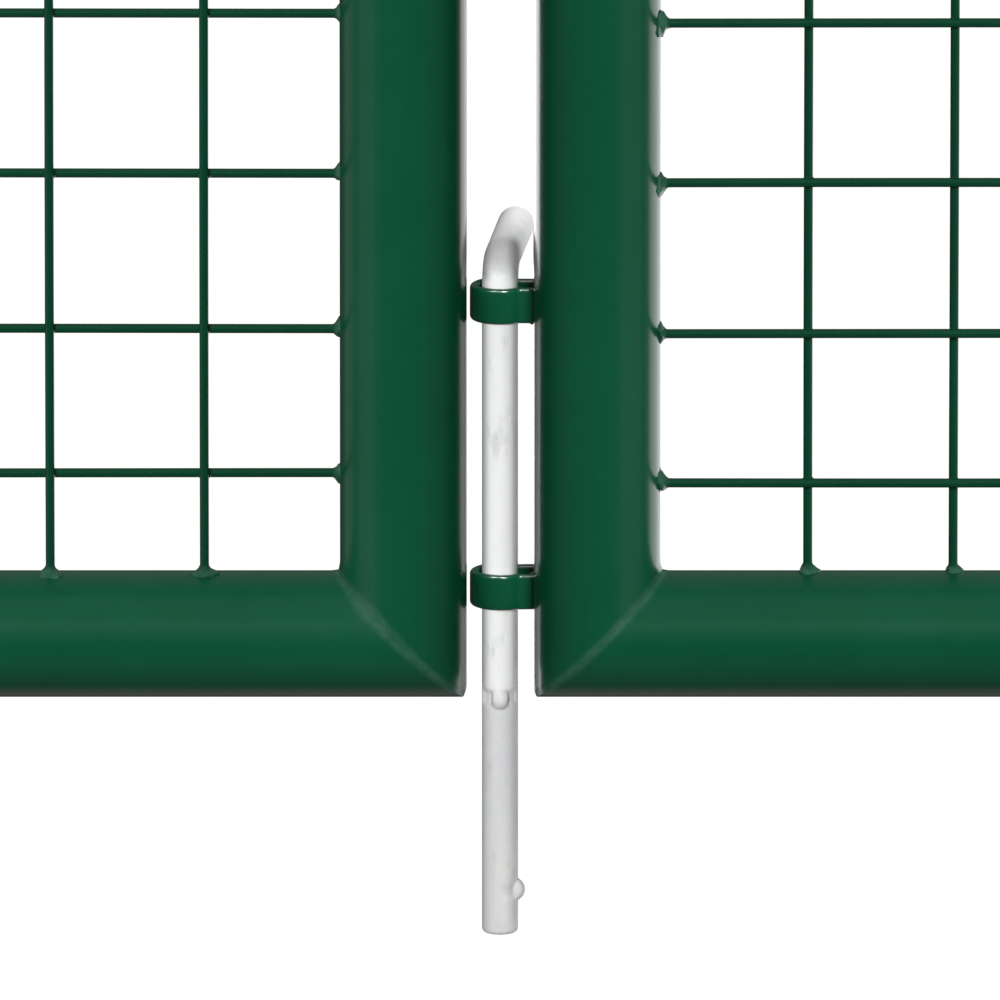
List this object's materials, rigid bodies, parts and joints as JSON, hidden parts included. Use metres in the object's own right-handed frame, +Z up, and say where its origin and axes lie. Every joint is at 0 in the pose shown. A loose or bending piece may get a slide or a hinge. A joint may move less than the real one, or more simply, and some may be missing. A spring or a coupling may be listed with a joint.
{
  "type": "double-leaf welded-mesh livestock gate",
  "caption": "Double swing gate of round tube frames filled with welded square wire mesh, hung on round posts, with a lever lock and a bent drop bolt in strap guides.",
  "frame": {"origin": "on the ground, midway between the two posts, in the mid-plane of the closed leaves", "axes": "+X along the closed gate from the leaf with the lock to the leaf with the drop bolt, +Y the way both leaves open and the side of the drop bolt, +Z up"},
  "size_m": [3.062, 0.16, 1.155],
  "materials": {
    "green_powder_coat": "gloss dark green powder coat",
    "galvanised_steel": "dull galvanised bar",
    "zinc_plated_steel": "bright zinc plate",
    "satin_steel": "satin steel",
    "black_plastic": "matt black moulding",
    "brass": "satin nickel on brass"
  },
  "bodies": {
    "posts": {"left_post": "green_powder_coat", "right_post": "green_powder_coat", "left_base_plate": "green_powder_coat", "right_base_plate": "green_powder_coat", "left_post_cap": "black_plastic", "right_post_cap": "black_plastic", "left_lower_eyebolt": "zinc_plated_steel", "left_upper_eyebolt": "zinc_plated_steel", "right_lower_eyebolt": "zinc_plated_steel", "right_upper_eyebolt": "zinc_plated_steel", "hinge_nuts": "zinc_plated_steel", "saddle_washers": "zinc_plated_steel"},
    "left_leaf": {"left_meeting_stile": "green_powder_coat", "left_hinge_stile": "green_powder_coat", "left_bottom_rail": "green_powder_coat", "left_top_rail": "green_powder_coat", "left_upright_wires": "green_powder_coat", "left_level_wires": "green_powder_coat", "left_lower_hinge_pin": "green_powder_coat", "left_upper_hinge_pin": "green_powder_coat", "lock_case": "green_powder_coat", "lock_cover": "green_powder_coat", "front_lever_plate": "black_plastic", "rear_lever_plate": "black_plastic", "lever_plate_screws": "satin_steel", "lock_cylinder": "brass", "latch_spring": "satin_steel"},
    "right_leaf": {"right_meeting_stile": "green_powder_coat", "right_hinge_stile": "green_powder_coat", "right_bottom_rail": "green_powder_coat", "right_top_rail": "green_powder_coat", "right_upright_wires": "green_powder_coat", "right_level_wires": "green_powder_coat", "right_lower_hinge_pin": "green_powder_coat", "right_upper_hinge_pin": "green_powder_coat", "lower_bolt_guide": "green_powder_coat", "upper_bolt_guide": "green_powder_coat", "latch_keep": "green_powder_coat"},
    "drop_bolt": {"drop_rod": "galvanised_steel"},
    "lever": {"front_lever": "black_plastic", "rear_lever": "black_plastic", "lever_spindle": "satin_steel", "lever_follower": "satin_steel"},
    "latch": {"latch_bolt": "satin_steel"},
    "dead_bolt": {"dead_bolt": "satin_steel"},
    "key_and_plug": {"cylinder_plug": "brass", "cylinder_cam": "satin_steel", "key": "brass"}
  },
  "joints": [
    {"name": "left_leaf_swing", "type": "hinge", "parent": "posts", "child": "left_leaf", "pos_m": [-1.388, 0, 0.588], "axis": [0, 0, 1], "range_deg": [0, 110]},
    {"name": "right_leaf_swing", "type": "hinge", "parent": "posts", "child": "right_leaf", "pos_m": [1.388, 0, 0.588], "axis": [0, 0, -1], "range_deg": [0, 110]},
    {"name": "drop_bolt_lift", "type": "slide", "parent": "right_leaf", "child": "drop_bolt", "axis": [0, 0, 1], "range_m": [0, 0.0265]},
    {"name": "lever_turn", "type": "hinge", "parent": "left_leaf", "child": "lever", "pos_m": [-0.083, 0, 0.668], "axis": [0, -1, 0], "range_deg": [0, 40], "stiffness_Nm_per_rad": 0.8, "springref_deg": -28.65},
    {"name": "latch_slide", "type": "slide", "parent": "left_leaf", "child": "latch", "axis": [-1, 0, 0], "range_m": [0, 0.012], "deforming": ["latch_spring"]},
    {"name": "key_turn", "type": "hinge", "parent": "left_leaf", "child": "key_and_plug", "pos_m": [-0.083, 0, 0.596], "axis": [0, 1, 0], "range_deg": [0, 360]},
    {"name": "dead_bolt_slide", "type": "slide", "parent": "left_leaf", "child": "dead_bolt", "axis": [1, 0, 0], "range_m": [0, 0.02]}
  ],
  "couplings": [
    {"joint": "latch_slide", "follows": "lever_turn", "m_per_rad": 0.01718},
    {"joint": "key_turn", "follows": "dead_bolt_slide", "rad_per_m": 314.15}
  ]
}
